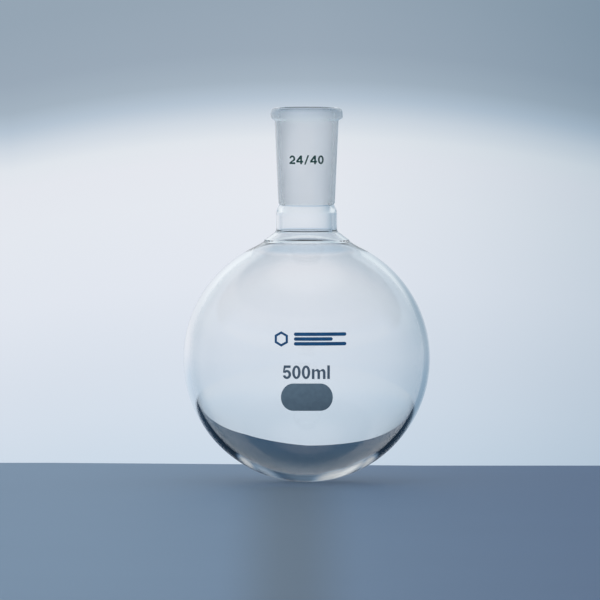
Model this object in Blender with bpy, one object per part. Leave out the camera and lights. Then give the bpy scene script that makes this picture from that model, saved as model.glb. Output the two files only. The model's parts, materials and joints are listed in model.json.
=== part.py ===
"""Round bottom flask, 500 ml, one neck, with a 24/40 ground socket.

Frame: origin at the lowest point of the bulb, on the flask's axis. +Z runs up
the axis to the mouth. The printed marks face -Y. Lengths are in millimetres
here and are turned into metres where vertices are made.

The flask is three pieces of borosilicate glass, fused end to end: the blown
bulb with its thickened collar, the short neck tube, and the tapered socket
with its rolled bead. The enamel marks are thin films fired onto the glass.
"""

import math

import bmesh
import bpy

MM = 0.001
SEAL_GAP = 0.3  # left between two glass pieces at each fused seal

# ---- bulb -------------------------------------------------------------------
BULB_OD = 105.0
BULB_WALL = 2.5
BULB_OUT_R = BULB_OD / 2
BULB_IN_R = BULB_OUT_R - BULB_WALL
CENTRE_Z = BULB_OUT_R
BULB_SEGMENTS = 52
BULB_TOP_Z = 107.2  # plane of the fused seal between bulb and neck tube

BEND_Z = 106.8  # where the straight neck bends out into the flare
BEND_RADIUS = 1.8
COLLAR_R = 18.0  # foot of the flare: the thick collar's edge
COLLAR_Z = 103.2
COLLAR_EDGE_RADIUS = 0.5
COLLAR_FOOT = (COLLAR_R + 0.3, COLLAR_Z - 0.85)  # (r, z) just below the edge
COLLAR_SLOPE = 0.65  # fall per unit of radius there
COLLAR_RUN_R = 23.0  # where the collar has run out onto the sphere

BORE_EDGE_Z = BULB_TOP_Z - 0.95  # where the bulb's bore starts to open
BORE_EDGE_RADIUS = 0.2
FLARE_R = 14.5  # the bore opens to here as a cone
FLARE_SLOPE = 0.8
FLARE_RUN_R = 25.0  # where it has run out onto the inside sphere

# ---- neck tube --------------------------------------------------------------
NECK_R = 12.95
NECK_BORE_R = 11.2
NECK_TOP_Z = 118.2  # plane of the fused seal between neck tube and socket
SEAL_R = 11.6  # outside radius in the groove at that seal
SHOULDER_Z = 112.6  # the neck is at its full width from here down
SHOULDER_POWER = 2.6  # higher makes the shoulder widen sooner below the seal
SHOULDER_STEPS = 6
NARROW_BORE_Z = NECK_TOP_Z - 1.0  # the bore widens from here down
NARROW_BORE_RADIUS = 0.9
WIDE_BORE_Z = 114.6  # the bore is at its full width from here down
WIDE_BORE_RADIUS = 2.5
TUBE_SEGMENTS = 44  # around the neck tube and the socket

# ---- 24/40 socket -----------------------------------------------------------
OVERALL_Z = 159.3
JOINT_LARGE_D = 24.0  # bore at the mouth
JOINT_LENGTH = 40.0  # ground length
JOINT_TAPER = 0.1  # change of diameter along the axis, 1 in 10
JOINT_FOOT_Z = OVERALL_Z - JOINT_LENGTH
JOINT_ROWS = 4  # mesh rows along the ground bore

# The mouth's inner edge is eased in two steps.
RIM_R = JOINT_LARGE_D / 2 + 0.4
EASE_R = JOINT_LARGE_D / 2 + 0.15
EASE_DEPTH = 0.4
GROUND_DEPTH = 1.2  # the plain taper starts this far below the mouth

SOCKET_FOOT_R = 12.05
SOCKET_FOOT_RISE = 0.6  # height of the foot's corner above the seal plane
SOCKET_FOOT_RADIUS = 0.3
SOCKET_END_R = SEAL_R + 0.11  # outside radius at the socket's lower end
SOCKET_TOP_R = 13.62  # outside radius just under the bead

BEAD_R = 15.4
BEAD_HEIGHT = 4.7
BEAD_FOOT_Z = OVERALL_Z - BEAD_HEIGHT
PLAIN_TOP_Z = BEAD_FOOT_Z - 1.0  # top of the plain outside taper
BEAD_FLAT_R = 13.5  # the mouth's flat rim ends here and the bead rounds over
BEAD_FALL = 2.5
BEAD_ANGLES = (0, 25, 50, 72)  # degrees along the rounding of the bead
BEAD_CORNER_RISE = 0.3  # the bead's lower corner, above its foot
BEAD_CORNER_RADIUS = 1.0
BEAD_FILLET_DROP = 0.7  # the corner where the bead meets the taper, below its foot
BEAD_FILLET_RADIUS = 1.4

# ---- enamel marks -----------------------------------------------------------
PRINT_GAP = 0.15  # between glass and film
PRINT_THICK = 0.15
PRINT_CELL = 4.0  # longest straight run of a film before it bends with the glass

# Positions across run to the right of the axis. On the bulb, middles are
# heights above its mid-height.
SPOT_WIDTH, SPOT_HEIGHT, SPOT_FLAT = 22.1, 12.2, 11.4
SPOT_CENTRE = (0.1, -14.2)

CAPACITY_HEIGHT = 5.8
CAPACITY_LEFT, CAPACITY_MIDDLE = -10.2, -3.3

MAKER_MIDDLE = 10.8
HEXAGON_SIZE = 6.6
HEXAGON_STROKE = 0.17  # as a part of its size
HEXAGON_LEFT = -14.1
BAR_HEIGHT = 1.5
BAR_PITCH = 2.05
BAR_LEFT = -5.4
BAR_WIDTHS = (22.5, 16.5, 22.5)  # from the top down

JOINT_MARK_HEIGHT = 3.7
JOINT_MARK_LEFT, JOINT_MARK_MIDDLE = -7.7, 137.55  # middle is a height above the origin


# ---- turned profiles: points (r, z) -----------------------------------------
def rounded(corners, step_deg=22.0):
    """Round a line's inner corners. Each corner is (r, z, radius)."""
    points = [corners[0][:2]]
    for before, (r, z, radius), after in zip(corners, corners[1:], corners[2:]):
        before_angle = math.atan2(before[1] - z, before[0] - r)
        after_angle = math.atan2(after[1] - z, after[0] - r)
        opening = (after_angle - before_angle + math.pi) % (2 * math.pi) - math.pi
        side = math.copysign(1.0, opening)
        half = abs(opening) / 2
        # Shrink the radius where the arc would take up too much of either leg.
        setback = min(
            radius / math.tan(half),
            0.48 * math.hypot(before[0] - r, before[1] - z),
            0.48 * math.hypot(after[0] - r, after[1] - z),
        )
        radius = setback * math.tan(half)
        reach = radius / math.sin(half)
        centre_r = r + reach * math.cos(before_angle + opening / 2)
        centre_z = z + reach * math.sin(before_angle + opening / 2)
        start = before_angle - side * math.pi / 2
        turn = opening - side * math.pi
        steps = max(1, math.ceil(abs(math.degrees(turn)) / step_deg))
        for k in range(steps + 1):
            angle = start + turn * k / steps
            points.append(
                (centre_r + radius * math.cos(angle), centre_z + radius * math.sin(angle))
            )
    points.append(corners[-1][:2])
    return points


def sphere_arc(radius, start_r, steps):
    """Points down a meridian, from the ring of radius start_r near the top to the bottom."""
    start = math.asin(start_r / radius)
    angles = [start + (math.pi - start) * k / steps for k in range(steps + 1)]
    return [(radius * math.sin(a), CENTRE_Z + radius * math.cos(a)) for a in angles]


def run_onto_sphere(start, start_slope, radius, end_r, steps):
    """A cubic from start that joins a bulb sphere smoothly at end_r. Slopes are dz/dr."""
    start_r, start_z = start
    sphere_rise = math.sqrt(radius**2 - end_r**2)
    end_z = CENTRE_Z + sphere_rise
    end_slope = -end_r / sphere_rise
    span = end_r - start_r
    points = []
    for k in range(steps + 1):
        t = k / steps
        z = (
            (2 * t**3 - 3 * t**2 + 1) * start_z
            + (t**3 - 2 * t**2 + t) * span * start_slope
            + (-2 * t**3 + 3 * t**2) * end_z
            + (t**3 - t**2) * span * end_slope
        )
        points.append((start_r + span * t, z))
    return points


def parted(line, height):
    """A falling line cut at a height: the part above and the part below."""
    i = next(k for k, point in enumerate(line) if point[1] < height)
    (upper_r, upper_z), (lower_r, lower_z) = line[i - 1], line[i]
    share = (upper_z - height) / (upper_z - lower_z)
    cut = (upper_r + (lower_r - upper_r) * share, height)
    return line[:i] + [cut], [cut] + line[i:]


def shoulder():
    """The neck's outside from the upper seal down: out fast, then straight."""
    points = []
    for k in range(SHOULDER_STEPS + 1):
        t = k / SHOULDER_STEPS
        r = SEAL_R + (NECK_R - SEAL_R) * (1 - (1 - t) ** SHOULDER_POWER)
        points.append((r, NECK_TOP_Z - (NECK_TOP_Z - SHOULDER_Z) * t))
    return points


def flare():
    """The outside from the straight neck out over the collar and on to the bulb."""
    line = rounded(
        [
            (NECK_R, SHOULDER_Z, 0),
            (NECK_R, BEND_Z, BEND_RADIUS),
            (COLLAR_R, COLLAR_Z, COLLAR_EDGE_RADIUS),
            (*COLLAR_FOOT, 0),
        ]
    )
    run = run_onto_sphere(COLLAR_FOOT, -COLLAR_SLOPE, BULB_OUT_R, COLLAR_RUN_R, steps=4)
    return line[:-1] + run


def bulb_profile():
    top = BULB_TOP_Z - SEAL_GAP / 2
    outer = parted(flare(), top)[1][:-1] + sphere_arc(BULB_OUT_R, COLLAR_RUN_R, steps=24)
    cone_foot = (FLARE_R, BORE_EDGE_Z - (FLARE_R - NECK_BORE_R) * FLARE_SLOPE)
    mouth = rounded(
        [
            (NECK_BORE_R, top, 0),
            (NECK_BORE_R, BORE_EDGE_Z, BORE_EDGE_RADIUS),
            (*cone_foot, 0),
        ]
    )
    run = run_onto_sphere(cone_foot, -FLARE_SLOPE, BULB_IN_R, FLARE_RUN_R, steps=5)
    inner = mouth[:-1] + run[:-1] + sphere_arc(BULB_IN_R, FLARE_RUN_R, steps=22)
    return inner[::-1] + outer


def neck_profile():
    low = BULB_TOP_Z + SEAL_GAP / 2
    high = NECK_TOP_Z - SEAL_GAP / 2
    outer = parted(shoulder(), high)[1][:-1] + parted(flare(), low)[0]
    narrow_r = bore_radius(JOINT_FOOT_Z)
    inner = rounded(
        [
            (narrow_r, high, 0),
            (narrow_r, NARROW_BORE_Z, NARROW_BORE_RADIUS),
            (NECK_BORE_R, WIDE_BORE_Z, WIDE_BORE_RADIUS),
            (NECK_BORE_R, low, 0),
        ]
    )
    return inner[::-1] + outer


def bore_radius(z):
    """Radius of the ground bore at height z."""
    return (JOINT_LARGE_D - (OVERALL_Z - z) * JOINT_TAPER) / 2


def socket_radius(z):
    """Outside radius of the socket's plain taper at height z."""
    share = (z - NECK_TOP_Z) / (PLAIN_TOP_Z - NECK_TOP_Z)
    return SOCKET_FOOT_R + (SOCKET_TOP_R - SOCKET_FOOT_R) * share


def socket_profile():
    low = NECK_TOP_Z + SEAL_GAP / 2
    outer = [(RIM_R, OVERALL_Z)]
    for angle in map(math.radians, BEAD_ANGLES):
        r = BEAD_FLAT_R + (BEAD_R - BEAD_FLAT_R) * math.sin(angle)
        outer.append((r, OVERALL_Z - BEAD_FALL * (1 - math.cos(angle))))
    outer += rounded(
        [
            (BEAD_R, OVERALL_Z - BEAD_FALL, 0),
            (BEAD_R, BEAD_FOOT_Z + BEAD_CORNER_RISE, BEAD_CORNER_RADIUS),
            (socket_radius(PLAIN_TOP_Z), BEAD_FOOT_Z - BEAD_FILLET_DROP, BEAD_FILLET_RADIUS),
            (SOCKET_FOOT_R, NECK_TOP_Z + SOCKET_FOOT_RISE, SOCKET_FOOT_RADIUS),
            (SOCKET_END_R, low, 0),
        ]
    )
    ground_top = OVERALL_Z - GROUND_DEPTH
    inner = [(EASE_R, OVERALL_Z - EASE_DEPTH)]
    for k in range(JOINT_ROWS + 1):
        z = ground_top + (JOINT_FOOT_Z - ground_top) * k / JOINT_ROWS
        inner.append((bore_radius(z), z))
    inner.append((bore_radius(JOINT_FOOT_Z), low))
    return inner[::-1] + outer


# ---- objects ----------------------------------------------------------------
def material(name, colour, roughness, transmission=0.0):
    mat = bpy.data.materials.new(name)
    mat.use_nodes = True
    inputs = mat.node_tree.nodes["Principled BSDF"].inputs
    inputs["Base Color"].default_value = (*colour, 1.0)
    inputs["Roughness"].default_value = roughness
    inputs["IOR"].default_value = 1.47  # borosilicate glass
    inputs["Transmission Weight"].default_value = transmission
    return mat


def add_object(name, shape, mat, sharp_deg):
    """Turn a closed bmesh into an object, smooth but for edges sharper than sharp_deg."""
    bmesh.ops.recalc_face_normals(shape, faces=shape.faces[:])
    if shape.calc_volume(signed=True) < 0:
        bmesh.ops.reverse_faces(shape, faces=shape.faces[:])
    mesh = bpy.data.meshes.new(name)
    shape.to_mesh(mesh)
    shape.free()
    mesh.materials.append(mat)
    mesh.shade_smooth()
    mesh.set_sharp_from_angle(angle=math.radians(sharp_deg))
    bpy.context.scene.collection.objects.link(bpy.data.objects.new(name, mesh))


def turned(name, profile, segments, mat):
    """Spin a closed profile, or one with both ends on the axis, about +Z."""
    shape = bmesh.new()
    verts = [shape.verts.new((r * MM, 0.0, z * MM)) for r, z in profile]
    edges = [shape.edges.new(pair) for pair in zip(verts, verts[1:])]
    if profile[0][0] > 1e-6:
        edges.append(shape.edges.new((verts[-1], verts[0])))
    bmesh.ops.spin(
        shape,
        geom=verts + edges,
        cent=(0, 0, 0),
        axis=(0, 0, 1),
        angle=2 * math.pi,
        steps=segments,
        use_merge=True,
    )
    # Merge the copies of the points that lie on the axis.
    bmesh.ops.remove_doubles(shape, verts=shape.verts[:], dist=1e-6)
    add_object(name, shape, mat, sharp_deg=35.0)


# ---- outlines of the marks --------------------------------------------------
# Each outline is a list of loops: the outer loop first, then its holes.
# Characters are drawn to a cap height of 1, and so are their widths and strokes.
def arc(centre, radii, start_deg, end_deg, steps):
    """Points along an ellipse, both ends included."""
    angles = [math.radians(start_deg + (end_deg - start_deg) * k / steps) for k in range(steps + 1)]
    return [
        (centre[0] + radii[0] * math.cos(a), centre[1] + radii[1] * math.sin(a)) for a in angles
    ]


def figure_0(width, stroke):
    centre = (width / 2, 0.5)
    outer = arc(centre, (width / 2, 0.5), 0, 360, 20)[:-1]
    hole = arc(centre, (width / 2 - stroke, 0.5 - stroke * 0.85), 0, 360, 16)[:-1]
    return [outer, hole]


def figure_2(width, stroke):
    radius = width / 2
    centre = (radius, 1 - radius)
    outer = arc(centre, (radius, radius), 172, -38, 12)
    inner = arc(centre, (radius - stroke, radius - stroke * 0.9), -38, 172, 10)
    base = [(stroke * 1.45, stroke), (width, stroke), (width, 0), (0, 0), (0, stroke * 0.8)]
    return [outer + base + inner]


def figure_4(width, stroke):
    left = width * 0.58  # the upright's two sides
    right = left + stroke
    bar = 0.2  # underside of the crossbar
    bar_top = bar + stroke * 0.9
    outer = [
        (left, 0),
        (right, 0),
        (right, bar),
        (width, bar),
        (width, bar_top),
        (right, bar_top),
        (right, 1),
        (left, 1),
        (0, bar + stroke * 0.95),
        (0, bar),
        (left, bar),
    ]
    hole = [(left, bar_top), (left, 1 - stroke * 1.75), (stroke * 1.15, bar_top)]
    return [outer, hole]


def figure_5(width, stroke):
    rise = 0.335  # half the bowl's height
    centre = (width / 2, rise)
    flag_low = 1 - stroke * 0.95
    flag = [(width * 0.94, 1), (width * 0.94, flag_low), (width * 0.36, flag_low)]
    bowl = arc(centre, (width / 2, rise), 122, -165, 14)
    inside = arc(centre, (width / 2 - stroke, rise - stroke * 0.9), -165, 138, 12)
    return [flag + bowl + inside + [(width * 0.03, 0.47), (width * 0.14, 1)]]


def slash(width, stroke):
    run = stroke * 0.9
    return [[(0, -0.04), (run, -0.04), (width, 1.04), (width - run, 1.04)]]


def letter_l(stroke):
    return [[(0, 0), (stroke, 0), (stroke, 1), (0, 1)]]


def letter_m(width, stroke):
    top, rise = 0.74, 0.26  # height of the letter and of its arches
    spring = top - rise
    gap = (width - 3 * stroke) / 2
    second = stroke + gap  # left side of the middle leg
    outer_radii = ((gap + stroke) / 2, rise)
    inner_radii = (gap / 2, rise - stroke * 0.85)
    outline = [(0, 0), (0, top), (stroke * 0.95, top), (stroke, spring + rise * 0.6)]
    outline += arc((stroke + outer_radii[0], spring), outer_radii, 140, 38, 6)
    outline += arc((second + stroke + outer_radii[0], spring), outer_radii, 142, 0, 8)
    outline += [(width, 0), (width - stroke, 0)]
    outline += arc((second + stroke + gap / 2, spring), inner_radii, 0, 180, 6)
    outline += [(second + stroke, 0), (second, 0)]
    outline += arc((stroke + gap / 2, spring), inner_radii, 0, 180, 6)
    outline += [(stroke, 0)]
    return [outline]


def hexagon_ring(stroke):
    """A hexagon one unit across its corners, with a hexagonal hole."""
    return [arc((0.5, 0.5), (r, r), 30, 390, 6)[:-1] for r in (0.5, 0.5 - stroke)]


def stadium(width, height, flat, steps):
    """A patch with round ends: flat is the length of its straight sides."""
    radii = ((width - flat) / 2, height / 2)
    right = arc(((width + flat) / 2, height / 2), radii, -90, 90, steps)
    left = arc(((width - flat) / 2, height / 2), radii, 90, 270, steps)
    return [right + left]


# ---- films on the glass -----------------------------------------------------
def on_bulb(across, up, lift):
    """Point on the bulb: across to the right along its parallel, up from mid-height."""
    lat = up / BULB_OUT_R
    lon = across / (BULB_OUT_R * math.cos(lat))
    r = BULB_OUT_R + lift
    return (
        r * math.cos(lat) * math.sin(lon),
        -r * math.cos(lat) * math.cos(lon),
        CENTRE_Z + r * math.sin(lat),
    )


def on_socket(across, z, lift):
    """Point on the socket's outside: across to the right around it, at height z."""
    lon = across / socket_radius(z)
    r = socket_radius(z) + lift
    return (r * math.sin(lon), -r * math.cos(lon), z)


def cut_into_cells(shape, axis):
    """Cut a flat film into equal strips along x (0) or y (1), so that it can bend."""
    low = min(v.co[axis] for v in shape.verts)
    high = max(v.co[axis] for v in shape.verts)
    cells = math.ceil((high - low) / PRINT_CELL)
    for k in range(1, cells):
        at, normal = [0.0, 0.0, 0.0], [0.0, 0.0, 0.0]
        at[axis] = low + (high - low) * k / cells
        normal[axis] = 1.0
        bmesh.ops.bisect_plane(
            shape,
            geom=shape.verts[:] + shape.edges[:] + shape.faces[:],
            dist=1e-4,
            plane_co=at,
            plane_no=normal,
        )


def film(name, loops, corner, place, mat, size=1.0):
    """Fill an outline scaled by size, thicken it and lay it on the glass.

    corner is the position of the outline's lower left.
    """
    shape = bmesh.new()
    for loop in loops:
        verts = [shape.verts.new((x * size, y * size, 0.0)) for x, y in loop]
        for pair in zip(verts, verts[1:] + verts[:1]):
            shape.edges.new(pair)
    bmesh.ops.remove_doubles(shape, verts=shape.verts[:], dist=1e-4)
    bmesh.ops.triangle_fill(shape, edges=shape.edges[:], use_beauty=True, use_dissolve=False)
    for axis in (0, 1):
        cut_into_cells(shape, axis)
    bmesh.ops.triangulate(shape, faces=shape.faces[:])
    raised = bmesh.ops.extrude_face_region(shape, geom=shape.faces[:])
    for item in raised["geom"]:
        if isinstance(item, bmesh.types.BMVert):
            item.co.z = PRINT_THICK
    for v in shape.verts:
        x, y, z = place(corner[0] + v.co.x, corner[1] + v.co.y, PRINT_GAP + v.co.z)
        v.co = (x * MM, y * MM, z * MM)
    add_object(name, shape, mat, sharp_deg=30.0)


def line_of_marks(prefix, marks, size, left, middle, place, mat):
    """Lay characters side by side.

    Each is (name, outline, step), the step being from the left of the one before.
    """
    for name, outline, step in marks:
        left += step * size
        film(prefix + name, outline, (left, middle - size / 2), place, mat, size)


# ---- pieces -----------------------------------------------------------------
def build_glass():
    clear = material(
        "clear_borosilicate", colour=(0.93, 0.96, 0.97), roughness=0.02, transmission=1.0
    )
    ground = material(
        "ground_borosilicate", colour=(0.80, 0.84, 0.87), roughness=0.45, transmission=0.8
    )
    turned("bulb", bulb_profile(), BULB_SEGMENTS, clear)
    turned("neck_tube", neck_profile(), TUBE_SEGMENTS, clear)
    turned("ground_joint_socket", socket_profile(), TUBE_SEGMENTS, ground)


def build_spot_and_capacity():
    grey = material("grey_enamel", colour=(0.085, 0.128, 0.172), roughness=0.55)
    spot = stadium(SPOT_WIDTH, SPOT_HEIGHT, SPOT_FLAT, steps=10)
    corner = (SPOT_CENTRE[0] - SPOT_WIDTH / 2, SPOT_CENTRE[1] - SPOT_HEIGHT / 2)
    film("marking_spot", spot, corner, on_bulb, grey)

    zero = figure_0(width=0.625, stroke=0.195)
    marks = [
        ("5", figure_5(width=0.625, stroke=0.195), 0.0),
        ("0_a", zero, 0.70),
        ("0_b", zero, 0.70),
        ("m", letter_m(width=1.0, stroke=0.19), 0.74),
        ("l", letter_l(stroke=0.19), 1.13),
    ]
    line_of_marks(
        "capacity_mark_", marks, CAPACITY_HEIGHT, CAPACITY_LEFT, CAPACITY_MIDDLE, on_bulb, grey
    )


def build_maker_mark():
    blue = material("blue_enamel", colour=(0.010, 0.076, 0.195), roughness=0.45)
    corner = (HEXAGON_LEFT, MAKER_MIDDLE - HEXAGON_SIZE / 2)
    ring = hexagon_ring(HEXAGON_STROKE)
    film("maker_mark_hexagon", ring, corner, on_bulb, blue, HEXAGON_SIZE)
    for k, width in enumerate(BAR_WIDTHS):
        outline = stadium(width, BAR_HEIGHT, width - BAR_HEIGHT, steps=5)
        corner = (BAR_LEFT, MAKER_MIDDLE + (1 - k) * BAR_PITCH - BAR_HEIGHT / 2)
        film("maker_mark_bar_" + "abc"[k], outline, corner, on_bulb, blue)


def build_joint_mark():
    green = material("green_enamel", colour=(0.021, 0.067, 0.070), roughness=0.5)
    four = figure_4(width=0.80, stroke=0.21)
    marks = [
        ("2", figure_2(width=0.74, stroke=0.215), 0.0),
        ("4_a", four, 0.88),
        ("slash", slash(width=0.56, stroke=0.20), 0.92),
        ("4_b", four, 0.69),
        ("0", figure_0(width=0.74, stroke=0.215), 0.92),
    ]
    line_of_marks(
        "joint_mark_", marks, JOINT_MARK_HEIGHT, JOINT_MARK_LEFT, JOINT_MARK_MIDDLE,
        on_socket, green,
    )


for old in list(bpy.data.objects):
    bpy.data.objects.remove(old, do_unlink=True)

build_glass()
build_spot_and_capacity()
build_maker_mark()
build_joint_mark()
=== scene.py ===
"""Looks for the round bottom flask.

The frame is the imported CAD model: origin at the lowest point of the bulb, +Z up
the axis, printed marks facing -Y. Lengths in the profile code are millimetres.
"""

import json
import math

import bmesh
import bpy
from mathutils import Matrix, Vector

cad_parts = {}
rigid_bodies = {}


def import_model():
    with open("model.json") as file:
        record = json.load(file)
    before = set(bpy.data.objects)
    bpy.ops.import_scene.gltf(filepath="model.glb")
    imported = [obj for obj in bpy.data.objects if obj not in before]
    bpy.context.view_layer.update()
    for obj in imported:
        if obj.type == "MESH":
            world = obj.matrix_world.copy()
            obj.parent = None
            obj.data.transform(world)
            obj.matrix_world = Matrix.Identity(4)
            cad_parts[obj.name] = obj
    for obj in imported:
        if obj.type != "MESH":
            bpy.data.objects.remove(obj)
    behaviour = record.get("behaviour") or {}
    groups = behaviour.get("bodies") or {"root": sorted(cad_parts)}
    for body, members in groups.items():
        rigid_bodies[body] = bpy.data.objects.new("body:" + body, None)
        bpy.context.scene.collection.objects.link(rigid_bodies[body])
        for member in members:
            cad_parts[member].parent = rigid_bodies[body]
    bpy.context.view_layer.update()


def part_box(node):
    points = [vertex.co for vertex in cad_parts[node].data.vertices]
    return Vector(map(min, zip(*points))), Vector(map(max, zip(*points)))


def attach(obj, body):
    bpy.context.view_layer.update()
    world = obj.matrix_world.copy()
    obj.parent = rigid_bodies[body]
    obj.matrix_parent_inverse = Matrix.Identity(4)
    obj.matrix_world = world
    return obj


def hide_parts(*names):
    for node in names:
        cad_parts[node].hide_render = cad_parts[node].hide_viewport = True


MM = 0.001

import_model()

# ---- sizes taken from the frame ----------------------------------------------
bulb_low, bulb_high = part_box("bulb")
neck_low, neck_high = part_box("neck_tube")
socket_low, socket_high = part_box("ground_joint_socket")

R_OUT = round((bulb_high.x - bulb_low.x) / 2 / MM, 1)
CENTRE_Z = R_OUT
SEAL_LOW = round((bulb_high.z + neck_low.z) / 2 / MM, 2)
SEAL_HIGH = round((neck_high.z + socket_low.z) / 2 / MM, 2)
TOP_Z = round(socket_high.z / MM, 2)
BEAD_R = round((socket_high.x - socket_low.x) / 2 / MM, 1)

# ---- details of the turned shapes ---------------------------------------------
WALL = 2.5
R_IN = R_OUT - WALL
NECK_R, NECK_BORE = 12.95, 11.2
BEND_Z, BEND_RADIUS = 106.8, 1.8
COLLAR_R, COLLAR_Z, COLLAR_RUN_R = 18.0, 103.2, 23.0
FLARE_R, FLARE_RUN_R, FLARE_SLOPE = 14.5, 25.0, 0.80
SEAL_R, SHOULDER_Z = 11.6, 112.6
SOCKET_FOOT_R, SOCKET_TOP_R = 12.05, 13.62
BEAD_HEIGHT, BEAD_FLAT_R, BEAD_FALL = 4.7, 13.5, 2.5
JOINT_LARGE_D, JOINT_LENGTH, JOINT_TAPER = 24.0, 40.0, 0.1


def rounded(corners, step_deg=6.0):
    """Points (r, z) of a line whose corners are rounded. Each corner is (r, z, radius)."""
    out = [corners[0][:2]]
    for before, here, after in zip(corners, corners[1:], corners[2:]):
        px, pz, rad = here
        ax, az = before[0] - px, before[1] - pz
        bx, bz = after[0] - px, after[1] - pz
        la, lb = math.hypot(ax, az), math.hypot(bx, bz)
        ax, az, bx, bz = ax / la, az / la, bx / lb, bz / lb
        opening = math.acos(max(-1.0, min(1.0, ax * bx + az * bz)))
        if rad <= 0 or opening > math.pi - 0.02:
            out.append((px, pz))
            continue
        back = min(rad / math.tan(opening / 2), 0.48 * la, 0.48 * lb)
        rad = back * math.tan(opening / 2)
        mx, mz = ax + bx, az + bz
        lm = math.hypot(mx, mz)
        reach = rad / math.sin(opening / 2)
        cx, cz = px + mx / lm * reach, pz + mz / lm * reach
        start = math.atan2(pz + az * back - cz, px + ax * back - cx)
        end = math.atan2(pz + bz * back - cz, px + bx * back - cx)
        turn = (end - start + math.pi) % (2 * math.pi) - math.pi
        steps = max(2, math.ceil(abs(math.degrees(turn)) / step_deg))
        for k in range(steps + 1):
            a = start + turn * k / steps
            out.append((cx + rad * math.cos(a), cz + rad * math.sin(a)))
    out.append(corners[-1][:2])
    return out


def sphere_arc(radius, r_from, steps):
    a0 = math.asin(r_from / radius)
    return [
        (
            radius * math.sin(a0 + (math.pi - a0) * k / steps),
            CENTRE_Z + radius * math.cos(a0 + (math.pi - a0) * k / steps),
        )
        for k in range(steps + 1)
    ]


def blended(start, start_slope, end, end_slope, steps=14):
    """A curve from start to end that leaves and arrives at the given slopes dz/dr."""
    (r0, z0), (r1, z1) = start, end
    span = r1 - r0
    out = []
    for k in range(steps + 1):
        t = k / steps
        h00, h10 = 2 * t**3 - 3 * t**2 + 1, t**3 - 2 * t**2 + t
        h01, h11 = -2 * t**3 + 3 * t**2, t**3 - t**2
        out.append((r0 + span * t, h00 * z0 + h10 * span * start_slope + h01 * z1 + h11 * span * end_slope))
    return out


def on_sphere(radius, r):
    return (r, CENTRE_Z + math.sqrt(radius * radius - r * r))


def bore_radius(z):
    return (JOINT_LARGE_D - (TOP_Z - z) * JOINT_TAPER) / 2


def socket_radius(z):
    high = TOP_Z - BEAD_HEIGHT - 1.0
    share = (z - SEAL_HIGH) / (high - SEAL_HIGH)
    return SOCKET_FOOT_R + (SOCKET_TOP_R - SOCKET_FOOT_R) * share


def shoulder():
    """The neck's outside from the seal down: out fast, then straight."""
    return [
        (SEAL_R + (NECK_R - SEAL_R) * (1 - (1 - k / 12) ** 2.6), SEAL_HIGH - (SEAL_HIGH - SHOULDER_Z) * k / 12)
        for k in range(13)
    ]


def flare():
    """The outside from the straight neck out over the collar and on to the bulb."""
    line = rounded(
        [
            (NECK_R, SHOULDER_Z, 0),
            (NECK_R, BEND_Z, BEND_RADIUS),
            (COLLAR_R, COLLAR_Z, 0.5),
            (COLLAR_R + 0.3, COLLAR_Z - 0.85, 0),
        ]
    )[:-1]
    return line + blended(
        (COLLAR_R + 0.3, COLLAR_Z - 0.85),
        -0.65,
        on_sphere(R_OUT, COLLAR_RUN_R),
        -COLLAR_RUN_R / math.sqrt(R_OUT**2 - COLLAR_RUN_R**2),
        8,
    )


def parted(line, height):
    """A falling line cut at a height: the part above and the part below."""
    i = next(k for k, p in enumerate(line) if p[1] < height)
    (r0, z0), (r1, z1) = line[i - 1], line[i]
    cut = (r0 + (r1 - r0) * (z0 - height) / (z0 - z1), height)
    return line[:i] + [cut], [cut] + line[i:]


# Each profile is a list of (r, z, kind) down the outside and up the inside.
# kind names the surface between that point and the next: clear, ground or seal.
def bulb_profile():
    outer = parted(flare(), SEAL_LOW)[1][:-1] + sphere_arc(R_OUT, COLLAR_RUN_R, 96)
    edge = SEAL_LOW - 0.95
    inner = rounded(
        [
            (NECK_BORE, SEAL_LOW, 0),
            (NECK_BORE, edge, 0.2),
            (FLARE_R, edge - (FLARE_R - NECK_BORE) * FLARE_SLOPE, 0),
        ]
    )[:-1]
    inner += blended(
        (FLARE_R, edge - (FLARE_R - NECK_BORE) * FLARE_SLOPE),
        -FLARE_SLOPE,
        on_sphere(R_IN, FLARE_RUN_R),
        -FLARE_RUN_R / math.sqrt(R_IN**2 - FLARE_RUN_R**2),
    )[:-1]
    inner += sphere_arc(R_IN, FLARE_RUN_R, 92)
    line = [(r, z, "clear") for r, z in outer]
    line += [(r, z, "clear") for r, z in reversed(inner)]
    line[-1] = (line[-1][0], line[-1][1], "seal")
    return line


def neck_profile():
    outer = shoulder()[:-1] + parted(flare(), SEAL_LOW)[0]
    foot = (JOINT_LARGE_D - JOINT_LENGTH * JOINT_TAPER) / 2
    inner = rounded(
        [
            (foot, SEAL_HIGH, 0),
            (foot, SEAL_HIGH - 1.0, 0.9),
            (NECK_BORE, 114.6, 2.5),
            (NECK_BORE, SEAL_LOW, 0),
        ]
    )
    line = [(r, z, "clear") for r, z in outer]
    line[-1] = (line[-1][0], line[-1][1], "seal")
    line += [(r, z, "clear") for r, z in reversed(inner)]
    line[-1] = (line[-1][0], line[-1][1], "seal")
    return line


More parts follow.
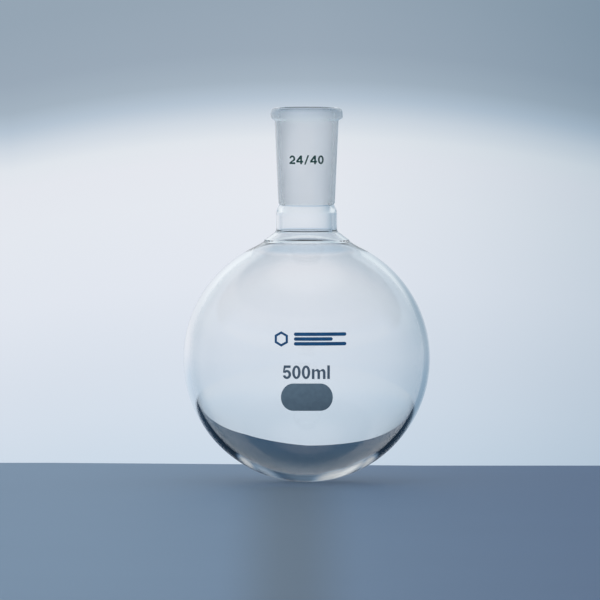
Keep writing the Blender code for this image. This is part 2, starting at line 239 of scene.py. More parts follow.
def socket_profile():
    under = TOP_Z - BEAD_HEIGHT
    outer = [(bore_radius(TOP_Z) + 0.55, TOP_Z)]
    outer += [
        (
            BEAD_FLAT_R + (BEAD_R - BEAD_FLAT_R) * math.sin(math.radians(a)),
            TOP_Z - BEAD_FALL * (1 - math.cos(math.radians(a))),
        )
        for a in range(0, 85, 7)
    ]
    outer += rounded(
        [
            (BEAD_R, TOP_Z - BEAD_FALL, 0),
            (BEAD_R, under + 0.3, 1.0),
            (socket_radius(under - 1.0), under - 0.7, 1.4),
            (SOCKET_FOOT_R, SEAL_HIGH + 0.6, 0.3),
            (SEAL_R, SEAL_HIGH, 0),
        ]
    )
    foot = TOP_Z - JOINT_LENGTH
    line = [(r, z, "clear") for r, z in outer]
    line[-1] = (line[-1][0], line[-1][1], "seal")
    line.append((bore_radius(foot), SEAL_HIGH, "clear"))
    rows = 40
    start, end = SEAL_HIGH + 0.55, TOP_Z - 0.5
    for k in range(rows + 1):
        z = start + (end - start) * k / rows
        line.append((bore_radius(z), z, "ground" if k < rows else "clear"))
    lip = rounded(
        [
            (bore_radius(end), end, 0),
            (bore_radius(TOP_Z), TOP_Z, 0.4),
            (bore_radius(TOP_Z) + 0.55, TOP_Z, 0),
        ]
    )[1:-1]
    line += [(r, z, "clear") for r, z in lip]
    return line


# ---- materials -----------------------------------------------------------------
def linear(*rgb):
    """sRGB 0..255 to linear."""
    return tuple(
        (c / 255 / 12.92) if c <= 10 else (((c / 255 + 0.055) / 1.055) ** 2.4)
        for c in rgb
    )


class Nodes:
    """A short way to build a node tree."""

    def __init__(self, tree):
        self.tree = tree
        tree.nodes.clear()

    def add(self, kind, **inputs):
        node = self.tree.nodes.new(kind)
        for key, value in inputs.items():
            if hasattr(node, key) and key not in node.inputs:
                setattr(node, key, value)
            else:
                self.set(node.inputs[key], value)
        return node

    def set(self, socket, value):
        if isinstance(value, bpy.types.NodeSocket):
            self.tree.links.new(value, socket)
        elif isinstance(value, bpy.types.Node):
            self.tree.links.new(value.outputs[0], socket)
        else:
            socket.default_value = value

    def math(self, op, a, b=0.0, c=0.0, clamp=False):
        node = self.tree.nodes.new("ShaderNodeMath")
        node.operation = op
        node.use_clamp = clamp
        for socket, value in zip(node.inputs, (a, b, c)):
            self.set(socket, value)
        return node.outputs[0]

    def ramp(self, factor, stops, mode="EASE"):
        node = self.tree.nodes.new("ShaderNodeValToRGB")
        node.color_ramp.interpolation = mode
        elements = node.color_ramp.elements
        while len(elements) > 1:
            elements.remove(elements[-1])
        elements[0].position = stops[0][0]
        elements[0].color = (*stops[0][1], 1.0)
        for at, colour in stops[1:]:
            e = elements.new(at)
            e.color = (*colour, 1.0)
        self.set(node.inputs[0], factor)
        return node.outputs[0]

    def mix(self, factor, a, b):
        node = self.tree.nodes.new("ShaderNodeMix")
        node.data_type = "RGBA"
        self.set(node.inputs[0], factor)
        for socket, value in ((node.inputs[6], a), (node.inputs[7], b)):
            if isinstance(value, tuple) and len(value) == 3:
                value = (*value, 1.0)
            self.set(socket, value)
        return node.outputs[2]

    def smooth(self, value, low, high, to_low=0.0, to_high=1.0):
        node = self.tree.nodes.new("ShaderNodeMapRange")
        node.interpolation_type = "SMOOTHSTEP"
        for socket, v in zip(node.inputs, (value, low, high, to_low, to_high)):
            self.set(socket, v)
        return node.outputs[0]


def new_material(name):
    mat = bpy.data.materials.new(name)
    mat.use_nodes = True
    return mat, Nodes(mat.node_tree)


def clear_glass_material():
    """Blown borosilicate: clear, with the slight waviness of hand-blown glass."""
    mat, n = new_material("clear_borosilicate")
    at = n.add("ShaderNodeTexCoord").outputs["Object"]
    wave = n.add("ShaderNodeTexNoise", Vector=at, Scale=38.0, Detail=1.5, Roughness=0.4)
    film = n.add("ShaderNodeTexNoise", Vector=at, Scale=160.0, Detail=4.0, Roughness=0.6)
    haze = n.smooth(film.outputs["Fac"], 0.52, 0.8, 0.0, 0.012)
    bump = n.add("ShaderNodeBump", Strength=0.05, Distance=0.00025, Height=wave.outputs["Fac"])
    tint = n.mix(n.smooth(wave.outputs["Fac"], 0.3, 0.7), (0.985, 0.992, 0.995), (0.993, 0.997, 0.998))
    # the rolled lip at the top is the thickest glass; its darker blue-grey tint is painted shade, standing in for the
    # darker backdrop seen through it
    height = n.add("ShaderNodeSeparateXYZ", Vector=at).outputs[2]
    mouth_painted_shade = n.smooth(height, (TOP_Z - BEAD_HEIGHT - 1.5) * MM, (TOP_Z - 2.0) * MM)
    tint = n.mix(mouth_painted_shade, tint, (0.85, 0.915, 0.965))
    glass = n.add(
        "ShaderNodeBsdfPrincipled",
        **{
            "Base Color": tint,
            "Roughness": haze,
            "IOR": 1.473,
            "Transmission Weight": 1.0,
            "Normal": bump.outputs[0],
        },
    )
    out = n.add("ShaderNodeOutputMaterial")
    n.set(out.inputs["Surface"], glass)
    return mat


def ground_glass_material():
    """The ground bore: fine grit lines round it, matt, so light through it spreads."""
    mat, n = new_material("ground_borosilicate")
    at = n.add("ShaderNodeTexCoord").outputs["Object"]
    stretched = n.add("ShaderNodeMapping", Vector=at, Scale=(1.0, 1.0, 6.0))
    grit = n.add("ShaderNodeTexNoise", Vector=stretched, Scale=900.0, Detail=3.0, Roughness=0.7)
    cloud = n.add("ShaderNodeTexNoise", Vector=at, Scale=90.0, Detail=2.0, Roughness=0.5)
    height = n.add("ShaderNodeSeparateXYZ", Vector=at).outputs[2]
    finer = n.smooth(height, 0.142, 0.151, 0.42, 0.50)
    rough = n.math("ADD", finer, n.smooth(cloud.outputs["Fac"], 0.3, 0.7, 0.0, 0.10))
    bump = n.add("ShaderNodeBump", Strength=0.35, Distance=0.00006, Height=grit.outputs["Fac"])
    glass = n.add(
        "ShaderNodeBsdfPrincipled",
        **{
            "Base Color": (1.0, 0.985, 0.985, 1.0),
            "Roughness": rough,
            "IOR": 1.473,
            "Transmission Weight": 1.0,
            "Normal": bump.outputs[0],
        },
    )
    out = n.add("ShaderNodeOutputMaterial")
    n.set(out.inputs["Surface"], glass)
    return mat


def seal_material():
    """The plane of a fused seal: one glass on both sides, so light isn't bent there."""
    mat, n = new_material("fused_seal")
    clear = n.add("ShaderNodeBsdfTransparent", Color=(1.0, 1.0, 1.0, 1.0))
    out = n.add("ShaderNodeOutputMaterial")
    n.set(out.inputs["Surface"], clear)
    return mat


def enamel_material(name, colour, darker, roughness):
    """Fired enamel: fine mottling and a slightly uneven, satin surface."""
    mat, n = new_material(name)
    at = n.add("ShaderNodeTexCoord").outputs["Object"]
    cloud = n.add("ShaderNodeTexNoise", Vector=at, Scale=420.0, Detail=3.0, Roughness=0.6)
    grain = n.add("ShaderNodeTexNoise", Vector=at, Scale=5200.0, Detail=2.0, Roughness=0.6)
    tone = n.mix(n.smooth(cloud.outputs["Fac"], 0.35, 0.65), darker, colour)
    speck = n.smooth(grain.outputs["Fac"], 0.66, 0.78, 0.0, 0.12)
    tone = n.mix(speck, tone, tuple(min(1.0, c * 1.6 + 0.02) for c in colour))
    rough = n.smooth(grain.outputs["Fac"], 0.3, 0.7, roughness - 0.06, roughness + 0.06)
    bump = n.add("ShaderNodeBump", Strength=0.25, Distance=0.00001, Height=grain.outputs["Fac"])
    paint = n.add(
        "ShaderNodeBsdfPrincipled",
        **{
            "Base Color": tone,
            "Roughness": rough,
            "IOR": 1.45,
            "Specular IOR Level": 0.3,
            "Normal": bump.outputs[0],
        },
    )
    out = n.add("ShaderNodeOutputMaterial")
    n.set(out.inputs["Surface"], paint)
    return mat


# ---- glass pieces ----------------------------------------------------------------
def turned(name, line, segments, mats, kinds):
    """Spin a closed profile, or one that starts and ends on the axis, about +Z."""
    bm = bmesh.new()
    closed = line[0][0] > 1e-6 or line[-1][0] > 1e-6
    rings = []
    for r, z, _ in line:
        if r < 1e-6:
            rings.append([bm.verts.new((0, 0, z * MM))])
            continue
        ring = []
        for k in range(segments):
            a = 2 * math.pi * k / segments
            ring.append(bm.verts.new((r * MM * math.cos(a), r * MM * math.sin(a), z * MM)))
        rings.append(ring)
    pairs = list(zip(range(len(rings)), range(1, len(rings))))
    if closed:
        pairs.append((len(rings) - 1, 0))
    for i, j in pairs:
        a, b = rings[i], rings[j]
        if len(a) == 1 and len(b) == 1:
            continue
        index = kinds.index(line[i][2])
        for k in range(segments):
            m = (k + 1) % segments
            if len(a) == 1:
                face = bm.faces.new((a[0], b[k], b[m]))
            elif len(b) == 1:
                face = bm.faces.new((a[k], b[0], a[m]))
            else:
                face = bm.faces.new((a[k], b[k], b[m], a[m]))
            face.material_index = index
    bmesh.ops.recalc_face_normals(bm, faces=bm.faces[:])
    if bm.calc_volume(signed=True) < 0:
        bmesh.ops.reverse_faces(bm, faces=bm.faces[:])
    mesh = bpy.data.meshes.new(name)
    bm.to_mesh(mesh)
    bm.free()
    for m in mats:
        mesh.materials.append(m)
    mesh.shade_smooth()
    mesh.set_sharp_from_angle(angle=math.radians(40))
    ob = bpy.data.objects.new(name, mesh)
    bpy.context.scene.collection.objects.link(ob)
    return ob


# The bulb's profile starts at the seal, runs down the outside to the axis, then
# from the axis up the inside: its two points on the axis must not be joined.
def bulb_line():
    line = bulb_profile()
    first_axis = next(i for i, p in enumerate(line) if p[0] < 1e-6)
    return line[first_axis + 1 :] + line[: first_axis + 1]


clear_glass = clear_glass_material()
ground_glass = ground_glass_material()
fused_seal = seal_material()
KINDS = ["clear", "ground", "seal"]
GLASS = [clear_glass, ground_glass, fused_seal]

bulb = turned("flask_bulb", bulb_line(), 256, GLASS, KINDS)
neck = turned("flask_neck_tube", neck_profile(), 192, GLASS, KINDS)
socket = turned("flask_ground_joint_socket", socket_profile(), 192, GLASS, KINDS)
for piece, node, slot in (
    (bulb, "bulb", "clear_glass"),
    (neck, "neck_tube", "clear_glass"),
    (socket, "ground_joint_socket", "ground_glass"),
):
    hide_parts(node)
    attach(piece, "root")


# ---- outlines of the marks ---------------------------------------------------------
def arc(cx, cy, rx, ry, a0, a1, steps):
    return [
        (
            cx + rx * math.cos(math.radians(a0 + (a1 - a0) * k / steps)),
            cy + ry * math.sin(math.radians(a0 + (a1 - a0) * k / steps)),
        )
        for k in range(steps + 1)
    ]


def figure_0(w, s):
    outer = arc(w / 2, 0.5, w / 2, 0.5, 0, 360, 48)[:-1]
    inner = arc(w / 2, 0.5, w / 2 - s, 0.5 - s * 0.85, 0, 360, 48)[:-1]
    return [outer, inner]


def figure_2(w, s):
    cx, cy, r = w / 2, 1 - w / 2, w / 2
    outer = arc(cx, cy, r, r, 172, -38, 30)
    inner = arc(cx, cy, r - s, r - s * 0.9, -38, 172, 26)
    return [outer + [(s * 1.45, s), (w, s), (w, 0), (0, 0), (0, s * 0.8)] + inner]


def figure_4(w, s):
    stem, bar = w * 0.58, 0.2
    outer = [
        (stem, 0),
        (stem + s, 0),
        (stem + s, bar),
        (w, bar),
        (w, bar + s * 0.9),
        (stem + s, bar + s * 0.9),
        (stem + s, 1),
        (stem, 1),
        (0, bar + s * 0.95),
        (0, bar),
        (stem, bar),
    ]
    hole = [
        (stem, bar + s * 0.9),
        (stem, 1 - s * 1.75),
        (s * 1.15, bar + s * 0.9),
    ]
    return [outer, hole]


def figure_5(w, s):
    cy, ry = 0.335, 0.335
    bowl = arc(w / 2, cy, w / 2, ry, 122, -165, 36)
    inside = arc(w / 2, cy, w / 2 - s, ry - s * 0.9, -165, 138, 30)
    head = [(w * 0.94, 1), (w * 0.94, 1 - s * 0.95), (w * 0.36, 1 - s * 0.95)]
    return [head + bowl + inside + [(w * 0.03, 0.47), (w * 0.14, 1)]]


def slash(w, s):
    return [[(0, -0.04), (s * 0.9, -0.04), (w, 1.04), (w - s * 0.9, 1.04)]]


def letter_l(w, s):
    return [[(0, 0), (s, 0), (s, 1), (0, 1)]]


def letter_m(w, s):
    top, rise = 0.74, 0.26
    gap = (w - 3 * s) / 2
    shoulder = top - rise
    c1, c2 = s + (gap + s) / 2, 2 * s + gap + (gap + s) / 2
    i1, i2 = s + gap / 2, 2 * s + gap * 1.5
    outline = [(0, 0), (0, top), (s * 0.95, top), (s, shoulder + rise * 0.6)]
    outline += arc(c1, shoulder, (gap + s) / 2, rise, 140, 38, 14)
    outline += arc(c2, shoulder, (gap + s) / 2, rise, 142, 0, 18)
    outline += [(w, 0), (w - s, 0)]
    outline += arc(i2, shoulder, gap / 2, rise - s * 0.85, 0, 180, 16)
    outline += [(2 * s + gap, 0), (s + gap, 0)]
    outline += arc(i1, shoulder, gap / 2, rise - s * 0.85, 0, 180, 16)
    outline += [(s, 0)]
    return [outline]


def hexagon_ring(w, s):
    outer = arc(w / 2, 0.5, w / 2, w / 2, 30, 390, 6)[:-1]
    inner = arc(w / 2, 0.5, w / 2 - s, w / 2 - s, 30, 390, 6)[:-1]
    return [outer, inner]


def stadium(w, h, flat, steps=24):
    end = (w - flat) / 2
    right = arc((w + flat) / 2, h / 2, end, h / 2, -90, 90, steps)
    left = arc((w - flat) / 2, h / 2, end, h / 2, 90, 270, steps)
    return [right + left]


def on_bulb(u, v, lift):
    lat = v / R_OUT
    lon = u / (R_OUT * math.cos(lat))
    r = R_OUT + lift
    return (
        r * math.cos(lat) * math.sin(lon),
        -r * math.cos(lat) * math.cos(lon),
        CENTRE_Z + r * math.sin(lat),
    )


def on_socket(u, v, lift):
    lon = u / socket_radius(v)
    r = socket_radius(v) + lift
    return (r * math.sin(lon), -r * math.cos(lon), v)


FILM_GAP, FILM_THICK, FILM_CELL = 0.012, 0.05, 0.6


def film(name, node, loops, size, corner, place, mat, slot):
    """Fill an outline, cut it finely enough to bend with the glass, thicken it and lay it on."""
    bm = bmesh.new()
    for loop in loops:
        verts = [bm.verts.new((x * size, y * size, 0.0)) for x, y in loop]
        for a, b in zip(verts, verts[1:] + verts[:1]):
            bm.edges.new((a, b))
    bmesh.ops.remove_doubles(bm, verts=bm.verts[:], dist=1e-4)
    bmesh.ops.triangle_fill(bm, edges=bm.edges[:], use_beauty=True, use_dissolve=False)
    for axis in (0, 1):
        low = min(v.co[axis] for v in bm.verts)
        high = max(v.co[axis] for v in bm.verts)
        cells = math.ceil((high - low) / FILM_CELL)
        for k in range(1, cells):
            at, normal = [0.0, 0.0, 0.0], [0.0, 0.0, 0.0]
            at[axis] = low + (high - low) * k / cells
            normal[axis] = 1.0
            bmesh.ops.bisect_plane(
                bm,
                geom=bm.verts[:] + bm.edges[:] + bm.faces[:],
                dist=1e-5,
                plane_co=at,
                plane_no=normal,
            )
    bmesh.ops.triangulate(bm, faces=bm.faces[:])
    raised = bmesh.ops.extrude_face_region(bm, geom=bm.faces[:])
    for v in raised["geom"]:
        if isinstance(v, bmesh.types.BMVert):
            v.co.z = FILM_THICK
    for v in bm.verts:
        x, y, z = place(corner[0] + v.co.x, corner[1] + v.co.y, FILM_GAP + v.co.z)
        v.co = (x * MM, y * MM, z * MM)
    bmesh.ops.recalc_face_normals(bm, faces=bm.faces[:])
    if bm.calc_volume(signed=True) < 0:
        bmesh.ops.reverse_faces(bm, faces=bm.faces[:])
    mesh = bpy.data.meshes.new(name)
    bm.to_mesh(mesh)
    bm.free()
    mesh.materials.append(mat)
    mesh.shade_smooth()
    mesh.set_sharp_from_angle(angle=math.radians(30))
    ob = bpy.data.objects.new(name, mesh)
    bpy.context.scene.collection.objects.link(ob)
    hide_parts(node)
    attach(ob, "root")
    return ob


grey_enamel = enamel_material("grey_enamel", linear(84, 102, 117), linear(79, 96, 111), 0.6)
green_enamel = enamel_material("green_enamel", linear(30, 62, 60), linear(24, 54, 52), 0.5)
blue_enamel = enamel_material("blue_enamel", linear(7, 58, 96), linear(5, 50, 86), 0.5)
fine_grey_enamel = enamel_material("fine_grey_enamel", linear(66, 80, 96), linear(61, 75, 90), 0.6)

SPOT_W, SPOT_H, SPOT_FLAT = 22.1, 12.2, 11.4
film(
    "print_marking_spot",
    "marking_spot",
    stadium(SPOT_W, SPOT_H, SPOT_FLAT),
    1.0,
    (-SPOT_W / 2 + 0.1, -14.2 - SPOT_H / 2),
    on_bulb,
    grey_enamel,
    "grey_enamel",
)


def line_of_marks(marks, size, start, place, mat, slot):
    x, y = start
    for node, outline, width, stroke, advance in marks:
        film("print_" + node, node, outline(width, stroke), size, (x, y), place, mat, slot)
        x += advance * size


CAPACITY_H = 5.8
line_of_marks(
    [
        ("capacity_mark_5", figure_5, 0.625, 0.195, 0.70),
        ("capacity_mark_0_a", figure_0, 0.625, 0.195, 0.70),
        ("capacity_mark_0_b", figure_0, 0.625, 0.195, 0.74),
        ("capacity_mark_m", letter_m, 1.0, 0.19, 1.13),
        ("capacity_mark_l", letter_l, 0.19, 0.19, 0.20),
    ],
    CAPACITY_H,
    (-10.2, -3.3 - CAPACITY_H / 2),
    on_bulb,
    fine_grey_enamel,
    "grey_enamel",
)

MAKER_H, BAR_H = 6.6, 1.5
film(
    "print_maker_mark_hexagon",
    "maker_mark_hexagon",
    hexagon_ring(1.0, 0.17),
    MAKER_H,
    (-14.1, 10.8 - MAKER_H / 2),
    on_bulb,
    blue_enamel,
    "blue_enamel",
)
for letter, bar_w, bar_v in (("a", 22.5, 2.05), ("b", 16.5, 0.0), ("c", 22.5, -2.05)):
    film(
        "print_maker_mark_bar_" + letter,
        "maker_mark_bar_" + letter,
        stadium(bar_w, BAR_H, bar_w - BAR_H, 12),
        1.0,
        (-5.4, 10.8 + bar_v - BAR_H / 2),
        on_bulb,
        blue_enamel,
        "blue_enamel",
    )

JOINT_MARK_H = 3.7
line_of_marks(
    [
        ("joint_mark_2", figure_2, 0.74, 0.215, 0.88),
        ("joint_mark_4_a", figure_4, 0.80, 0.21, 0.92),
        ("joint_mark_slash", slash, 0.56, 0.20, 0.69),
        ("joint_mark_4_b", figure_4, 0.80, 0.21, 0.92),
        ("joint_mark_0", figure_0, 0.74, 0.215, 0.74),
    ],
    JOINT_MARK_H,
    (-7.7, 137.55 - JOINT_MARK_H / 2),
    on_socket,
    green_enamel,
    "green_enamel",
)

# ---- camera ----------------------------------------------------------------------------
DISTANCE = 8.0
ELEVATION = math.radians(2.6)
MM_PER_PIXEL = 1 / 2.35
AIM = (306.6, 358.5)  # where the bulb's centre falls in the 600 x 600 picture

cam_data = bpy.data.cameras.new("Camera")
cam = bpy.data.objects.new("Camera", cam_data)
bpy.context.scene.collection.objects.link(cam)
back = Vector((0.0, -math.cos(ELEVATION), math.sin(ELEVATION)))
up = Vector((0.0, math.sin(ELEVATION), math.cos(ELEVATION)))
right = Vector((1.0, 0.0, 0.0))
aim = Vector((0.0, 0.0, CENTRE_Z * MM))
aim += right * ((300 - AIM[0]) * MM_PER_PIXEL * MM) + up * ((AIM[1] - 300) * MM_PER_PIXEL * MM)
cam.location = aim + back * DISTANCE
cam.rotation_mode = "QUATERNION"
cam.rotation_quaternion = (-back).to_track_quat("-Z", "Y")
cam_data.sensor_width = 36.0
cam_data.lens = 36.0 * DISTANCE / (600 * MM_PER_PIXEL * MM)
cam_data.clip_start, cam_data.clip_end = 0.1, 20.0
bpy.context.scene.camera = cam

# ---- stage ---------------------------------------------------------------------------
DOME_R = 1.0
BENCH_REACH = 0.95  # all round; seen level, the top shows only as far as its slanted edge
BENCH_TONE = (0.124, 0.183, 0.259)
# painted shade: the bench's colour on its right, darker away from the light
BENCH_RIGHT_SHADE = (0.44, 0.51, 0.64)
BENCH_ABOVE = (0.44, 0.49, 0.55)  # the paler tone it has when looked down on


class Turned:
    """The stage turns with the camera, so every side of the flask gets the same backdrop.
    x runs to the camera's right and y away from it. level is 1 while the camera is near
    the bench's height and 0 once it looks down on it."""

    def __init__(self, n, at):
        px, py, z = n.add("ShaderNodeSeparateXYZ", Vector=at).outputs
        cx, cy, cz = (self.driven(n, "LOC_" + axis) for axis in "XYZ")
        away = n.math("ADD", n.math("MULTIPLY", cy, -1.0), 0.0001)
        reach = n.math("SQRT", n.math("ADD", n.math("MULTIPLY", cx, cx), n.math("MULTIPLY", away, away)))
        sin = n.math("DIVIDE", cx, reach)
        cos = n.math("DIVIDE", away, reach)
        self.x = n.math("ADD", n.math("MULTIPLY", px, cos), n.math("MULTIPLY", py, sin))
        self.y = n.math("SUBTRACT", n.math("MULTIPLY", py, cos), n.math("MULTIPLY", px, sin))
        self.z = z
        slope = n.math("DIVIDE", n.math("SUBTRACT", cz, CENTRE_Z * MM), reach)
        self.level = n.smooth(slope, math.tan(math.radians(4.0)), math.tan(math.radians(9.0)), 1.0, 0.0)

    def driven(self, n, what):
        node = n.add("ShaderNodeValue")
        driver = node.outputs[0].driver_add("default_value").driver
        driver.type = "AVERAGE"
        read = driver.variables.new()
        read.type = "TRANSFORMS"
        read.targets[0].id = cam
        read.targets[0].transform_type = what
        read.targets[0].transform_space = "WORLD_SPACE"
        return node.outputs[0]


def pale(level):
    """A panel's light: white when bright, bluer as it dims."""
    dim = min(level, 1.0)
    return (0.97 * level * dim**0.35, level, 1.03 * level * dim**-0.2)


def dome_material():
    """A soft light tent, seen from inside only. Behind the flask it is a pale backdrop
    that darkens towards the top and to the right. Round the sides, overhead and in
    front it holds soft panels that only show in the glass."""
    mat, n = new_material("soft_tent")
    at = n.add("ShaderNodeTexCoord").outputs["Object"]
    stage = Turned(n, at)
    x, y = stage.x, stage.y
    height = n.math("DIVIDE", stage.z, DOME_R)
    sag = n.math("MINIMUM", n.math("MULTIPLY", x, x), 0.02)
    sagged = n.math("ADD", height, n.math("MULTIPLY", sag, 0.8))
    share = n.math("DIVIDE", n.math("ADD", sagged, 0.2), 0.5, clamp=True)

    def at_height(h):
        return (h + 0.2) / 0.5

    foot = [
        (at_height(-0.20), linear(190, 204, 220)),
        (at_height(-0.046), linear(204, 218, 232)),
        (at_height(-0.015), linear(213, 223, 235)),
        (at_height(0.005), linear(217, 225, 236)),
        (at_height(0.043), linear(226, 231, 240)),
        (at_height(0.081), linear(229, 233, 240)),
        (at_height(0.100), linear(229, 232, 239)),
    ]
    shown = n.ramp(
        share,
        foot
        + [
            (at_height(0.110), linear(226, 231, 237)),
            (at_height(0.120), linear(208, 217, 227)),
            (at_height(0.129), linear(182, 197, 212)),
            (at_height(0.138), linear(165, 180, 194)),
            (at_height(0.152), linear(155, 170, 185)),
            (at_height(0.180), linear(150, 166, 181)),
        ],
        "LINEAR",
    )
    held = n.ramp(
        share,
        foot
        + [
            (at_height(0.140), linear(224, 229, 237)),
            (at_height(0.195), linear(227, 232, 239)),
        ],
        "LINEAR",
    )
    direct = n.add("ShaderNodeLightPath").outputs["Is Camera Ray"]
    column = n.mix(n.math("MULTIPLY", direct, stage.level), held, shown)
    # all round: 0 behind the flask, positive to the right
    turn = n.math("ADD", n.math("DIVIDE", n.math("ARCTAN2", x, y), 2 * math.pi), 0.5)

    def all_round(levels):
        return n.ramp(turn, [(deg / 360 + 0.5, pale(v)) for deg, v in levels], "LINEAR")

    low = n.ramp(
        turn,
        [
            (deg / 360 + 0.5, tuple(c / p for c, p in zip(pale(v), pale(1.0))))
            for deg, v in (
                (-180, 0.66), (-115, 0.66), (-80, 0.60), (-55, 0.68), (-42, 0.90), (-28, 0.98),
                (-16, 1.02), (-8, 0.99), (0, 1.0), (2.3, 0.958), (4.7, 0.905), (8, 0.80),
                (12, 0.67), (16, 0.55), (22, 0.48), (30, 0.56), (45, 0.70), (65, 0.50), (115, 0.55), (180, 0.68),
            )
        ],
        "LINEAR",
    )
    middle = all_round(
        (
            (-180, 0.78), (-115, 0.72), (-80, 0.65), (-57, 0.78), (-42, 0.92), (-28, 0.92),
            (-15, 0.90), (0, 0.80), (12, 0.80), (28, 0.84), (42, 0.84), (55, 0.74),
            (75, 0.55), (115, 0.62), (180, 0.78),
        )
    )
    high = all_round(
        (
            (-180, 0.82), (-115, 0.78), (-80, 0.70), (-57, 0.92), (-42, 1.10), (-28, 1.00),
            (-14, 0.75), (0, 0.58), (14, 0.62), (28, 0.90), (40, 0.84), (55, 0.74),
            (85, 0.55), (120, 0.68), (180, 0.82),
        )
    )
    wall = n.add("ShaderNodeVectorMath", operation="MULTIPLY")
    n.set(wall.inputs[0], column)
    n.set(wall.inputs[1], low)
    light = n.mix(n.smooth(height, 0.19, 0.40), wall.outputs[0], middle)
    light = n.mix(n.smooth(height, 0.40, 0.65), light, high)
    light = n.mix(n.smooth(height, 0.65, 0.73), light, pale(0.52))
    light = n.mix(n.smooth(height, 0.86, 0.98), light, pale(0.95))
    shade = n.add("ShaderNodeEmission", Strength=1.0)
    n.set(shade.inputs["Color"], light)
    clear = n.add("ShaderNodeBsdfTransparent")
    back = n.add("ShaderNodeNewGeometry").outputs["Backfacing"]
    both = n.add("ShaderNodeMixShader")
    n.set(both.inputs[0], back)
    n.set(both.inputs[1], shade)
    n.set(both.inputs[2], clear)
    out = n.add("ShaderNodeOutputMaterial")
    n.set(out.inputs["Surface"], both)
    return mat


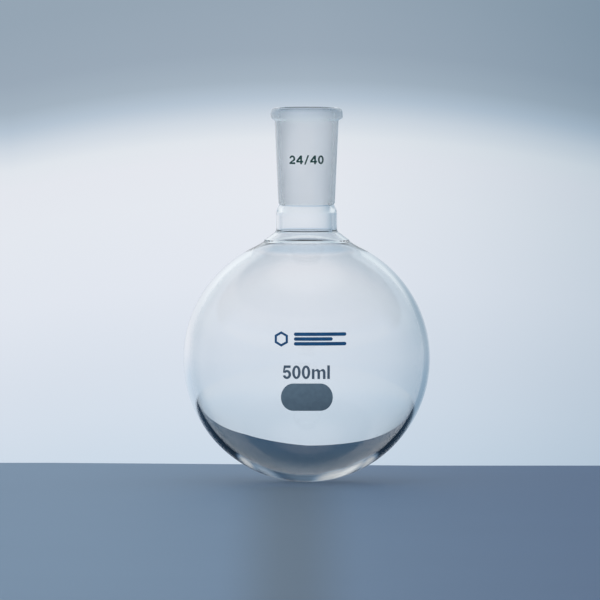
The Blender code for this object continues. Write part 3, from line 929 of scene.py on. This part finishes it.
def bench_material():
    """The bench top. Seen directly it is matt. Seen through or in the glass it is a fixed
    light pattern: the flask's own shade, the two bright patches of light the bulb gathers
    at its foot, and the lit bench farther out."""
    mat, n = new_material("pale_bench")
    at = n.add("ShaderNodeTexCoord").outputs["Object"]
    stage = Turned(n, at)
    x, y = stage.x, stage.y
    cloud = n.add("ShaderNodeTexNoise", Vector=at, Scale=9.0, Detail=3.0, Roughness=0.5)
    tone = n.mix(cloud.outputs["Fac"], BENCH_TONE, tuple(c * 1.06 for c in BENCH_TONE))
    # painted shade: the bench's colour darkens towards the right, away from the light
    side = n.mix(n.smooth(x, -0.12, 0.16), (1.0, 1.0, 1.0), BENCH_RIGHT_SHADE)
    # painted reflection: the flask's faint reflection, painted into the bench's colour as a darker band from its foot
    # towards the camera
    painted_reflection_strip = n.smooth(n.math("ABSOLUTE", n.math("ADD", x, 0.006)), 0.002, 0.030, 1.0, 0.0)
    painted_reflection_strip = n.math("MULTIPLY", painted_reflection_strip, n.smooth(y, -0.06, -0.01, 1.0, 0.0))
    with_painted_reflection = n.add("ShaderNodeVectorMath", operation="MULTIPLY")
    n.set(with_painted_reflection.inputs[0], side)
    n.set(with_painted_reflection.inputs[1], n.mix(painted_reflection_strip, (1.0, 1.0, 1.0), (0.77, 0.73, 0.68)))
    side = with_painted_reflection.outputs[0]
    toned = n.add("ShaderNodeVectorMath", operation="MULTIPLY")
    n.set(toned.inputs[0], tone)
    n.set(toned.inputs[1], side)
    direct = n.add("ShaderNodeLightPath").outputs["Is Camera Ray"]
    # beside the picture the bench is darker, which draws the edges of the glass
    carded = n.smooth(n.math("ABSOLUTE", x), 0.16, 0.30, 1.0, 0.22)
    carded = n.math("MAXIMUM", carded, direct)
    above = n.add("ShaderNodeVectorMath", operation="SCALE")
    n.set(above.inputs[0], BENCH_ABOVE)
    n.set(above.inputs["Scale"], carded)
    shown = n.mix(stage.level, above.outputs[0], toned.outputs[0])
    top = n.add(
        "ShaderNodeBsdfPrincipled",
        **{"Base Color": shown, "Roughness": 0.6, "Specular IOR Level": 0.2},
    )

    reach = n.math("SQRT", n.math("ADD", n.math("MULTIPLY", x, x), n.math("MULTIPLY", y, y)))
    behind = n.math("DIVIDE", y, n.math("MAXIMUM", reach, 0.001))
    open_level = n.smooth(behind, 0.25, 0.62, 0.46, 0.01)
    lit = n.math("MULTIPLY", open_level, n.smooth(reach, 0.062, 0.15))

    def patch(px, py, sx, sy, level):
        dx = n.math("DIVIDE", n.math("SUBTRACT", x, px), sx)
        dy = n.math("DIVIDE", n.math("SUBTRACT", y, py), sy)
        far = n.math("SQRT", n.math("ADD", n.math("MULTIPLY", dx, dx), n.math("MULTIPLY", dy, dy)))
        return n.smooth(far, 0.3, 1.6, level, 0.0)

    gathered = patch(0.019, 0.000, 0.010, 0.008, 0.76)
    for spot in (
        (0.031, 0.013, 0.006, 0.012, 0.56),
        (0.011, -0.006, 0.008, 0.006, 0.55),
        (-0.019, 0.000, 0.008, 0.007, 0.34),
        (-0.030, 0.010, 0.006, 0.009, 0.60),
        (0.000, -0.009, 0.012, 0.005, 0.15),
    ):
        gathered = n.math("MAXIMUM", gathered, patch(*spot))
    # gathered light leaves the bench away from the camera's side only
    away = Turned(n, n.add("ShaderNodeNewGeometry").outputs["Incoming"]).y
    gathered = n.math("MULTIPLY", gathered, n.smooth(n.math("MULTIPLY", away, -1.0), 0.1, 0.5))
    level = n.math("ADD", n.math("ADD", lit, gathered), n.smooth(behind, 0.72, 0.92, 0.022, 0.036))
    shade_tint = n.mix(n.smooth(behind, 0.60, 0.92), (0.50, 1.0, 1.75), (0.20, 1.0, 2.30))
    glow_tint = n.mix(n.smooth(level, 0.04, 0.16), shade_tint, (0.65, 1.0, 1.42))
    glow_tint = n.mix(n.smooth(level, 0.20, 0.50), glow_tint, (0.95, 1.0, 1.03))
    seen = n.add("ShaderNodeVectorMath", operation="SCALE")
    n.set(seen.inputs[0], glow_tint)
    n.set(seen.inputs["Scale"], level)
    glow = n.add("ShaderNodeEmission", Strength=1.0)
    n.set(glow.inputs["Color"], seen.outputs[0])

    both = n.add("ShaderNodeMixShader")
    n.set(both.inputs[0], n.math("MAXIMUM", direct, n.math("SUBTRACT", 1.0, stage.level)))
    n.set(both.inputs[1], glow)
    n.set(both.inputs[2], top)
    # the far edge: slanted when seen directly, bowed when seen through the bulb
    slanted = n.math("SUBTRACT", 0.134, n.math("MULTIPLY", n.math("MINIMUM", n.math("MAXIMUM", x, -0.11), 0.05), 0.14))
    bowed = n.math("SUBTRACT", 0.152, n.math("MULTIPLY", n.math("MULTIPLY", x, x), 5.0))
    left = n.math("MINIMUM", n.math("MAXIMUM", n.math("MULTIPLY", x, -1.0), 0.0), 0.035)
    bowed = n.math("ADD", bowed, n.math("MULTIPLY", left, 1.15))
    edge = n.math("ADD", bowed, n.math("MULTIPLY", direct, n.math("SUBTRACT", slanted, bowed)))
    past = n.math("MULTIPLY", n.math("GREATER_THAN", y, edge), n.math("GREATER_THAN", stage.level, 0.5))
    # looked down on, the bench runs on and fades into the tent
    faded = n.math("MULTIPLY", n.smooth(reach, 0.45, 0.90), n.math("LESS_THAN", stage.level, 0.5))
    cut = n.add("ShaderNodeMixShader")
    n.set(cut.inputs[0], n.math("MAXIMUM", past, faded))
    n.set(cut.inputs[1], both)
    n.set(cut.inputs[2], n.add("ShaderNodeBsdfTransparent"))
    out = n.add("ShaderNodeOutputMaterial")
    n.set(out.inputs["Surface"], cut)
    return mat


def add_dome():
    bm = bmesh.new()
    bmesh.ops.create_uvsphere(bm, u_segments=64, v_segments=32, radius=DOME_R)
    bmesh.ops.reverse_faces(bm, faces=bm.faces[:])
    mesh = bpy.data.meshes.new("light_tent")
    bm.to_mesh(mesh)
    bm.free()
    mesh.shade_smooth()
    mesh.materials.append(dome_material())
    ob = bpy.data.objects.new("light_tent", mesh)
    bpy.context.scene.collection.objects.link(ob)
    return ob


def add_bench():
    bm = bmesh.new()
    bmesh.ops.create_cube(bm, size=1.0)
    for v in bm.verts:
        v.co.x *= 2 * BENCH_REACH
        v.co.y *= 2 * BENCH_REACH
        v.co.z = -0.00002 if v.co.z > 0 else -0.03
    bmesh.ops.bevel(bm, geom=bm.edges[:], offset=0.0012, segments=3, affect="EDGES")
    mesh = bpy.data.meshes.new("bench")
    bm.to_mesh(mesh)
    bm.free()
    mesh.shade_smooth()
    mesh.set_sharp_from_angle(angle=math.radians(40))
    mesh.materials.append(bench_material())
    ob = bpy.data.objects.new("bench", mesh)
    bpy.context.scene.collection.objects.link(ob)
    return ob


def soft_light(name, towards, spread, strength, colour, blockers):
    """A broad, even light from one side. It lights matt surfaces only, so that the glass
    shows the tent, and it passes through the tent and the clear glass without a shadow."""
    data = bpy.data.lights.new(name, "SUN")
    data.angle = math.radians(spread)
    data.energy = strength
    data.color = colour
    ob = bpy.data.objects.new(name, data)
    bpy.context.scene.collection.objects.link(ob)
    ob.rotation_mode = "QUATERNION"
    ob.rotation_quaternion = Vector(towards).to_track_quat("-Z", "Y")
    ob.visible_camera = False
    ob.visible_glossy = False
    ob.visible_transmission = False
    casting = bpy.data.collections.new(name + "_blockers")
    for blocker in blockers:
        casting.objects.link(blocker)
    ob.light_linking.blocker_collection = casting
    return ob


add_dome()
add_bench()
prints = [ob for ob in bpy.data.objects if ob.name.startswith("print_")]
soft_light("key", (0.25, 0.75, -0.60), 50.0, 2.85, (1.0, 0.99, 0.97), prints)

world = bpy.data.worlds.new("World")
bpy.context.scene.world = world
world.use_nodes = True
world.node_tree.nodes["Background"].inputs["Color"].default_value = (0.75, 0.79, 0.84, 1)
world.node_tree.nodes["Background"].inputs["Strength"].default_value = 0.6
bpy.context.scene.view_settings.view_transform = "Standard"
# light turns many corners inside thick glass before it leaves again
paths = bpy.context.scene.cycles
paths.max_bounces = 32
paths.glossy_bounces = 24
paths.transmission_bounces = 32
paths.transparent_max_bounces = 32
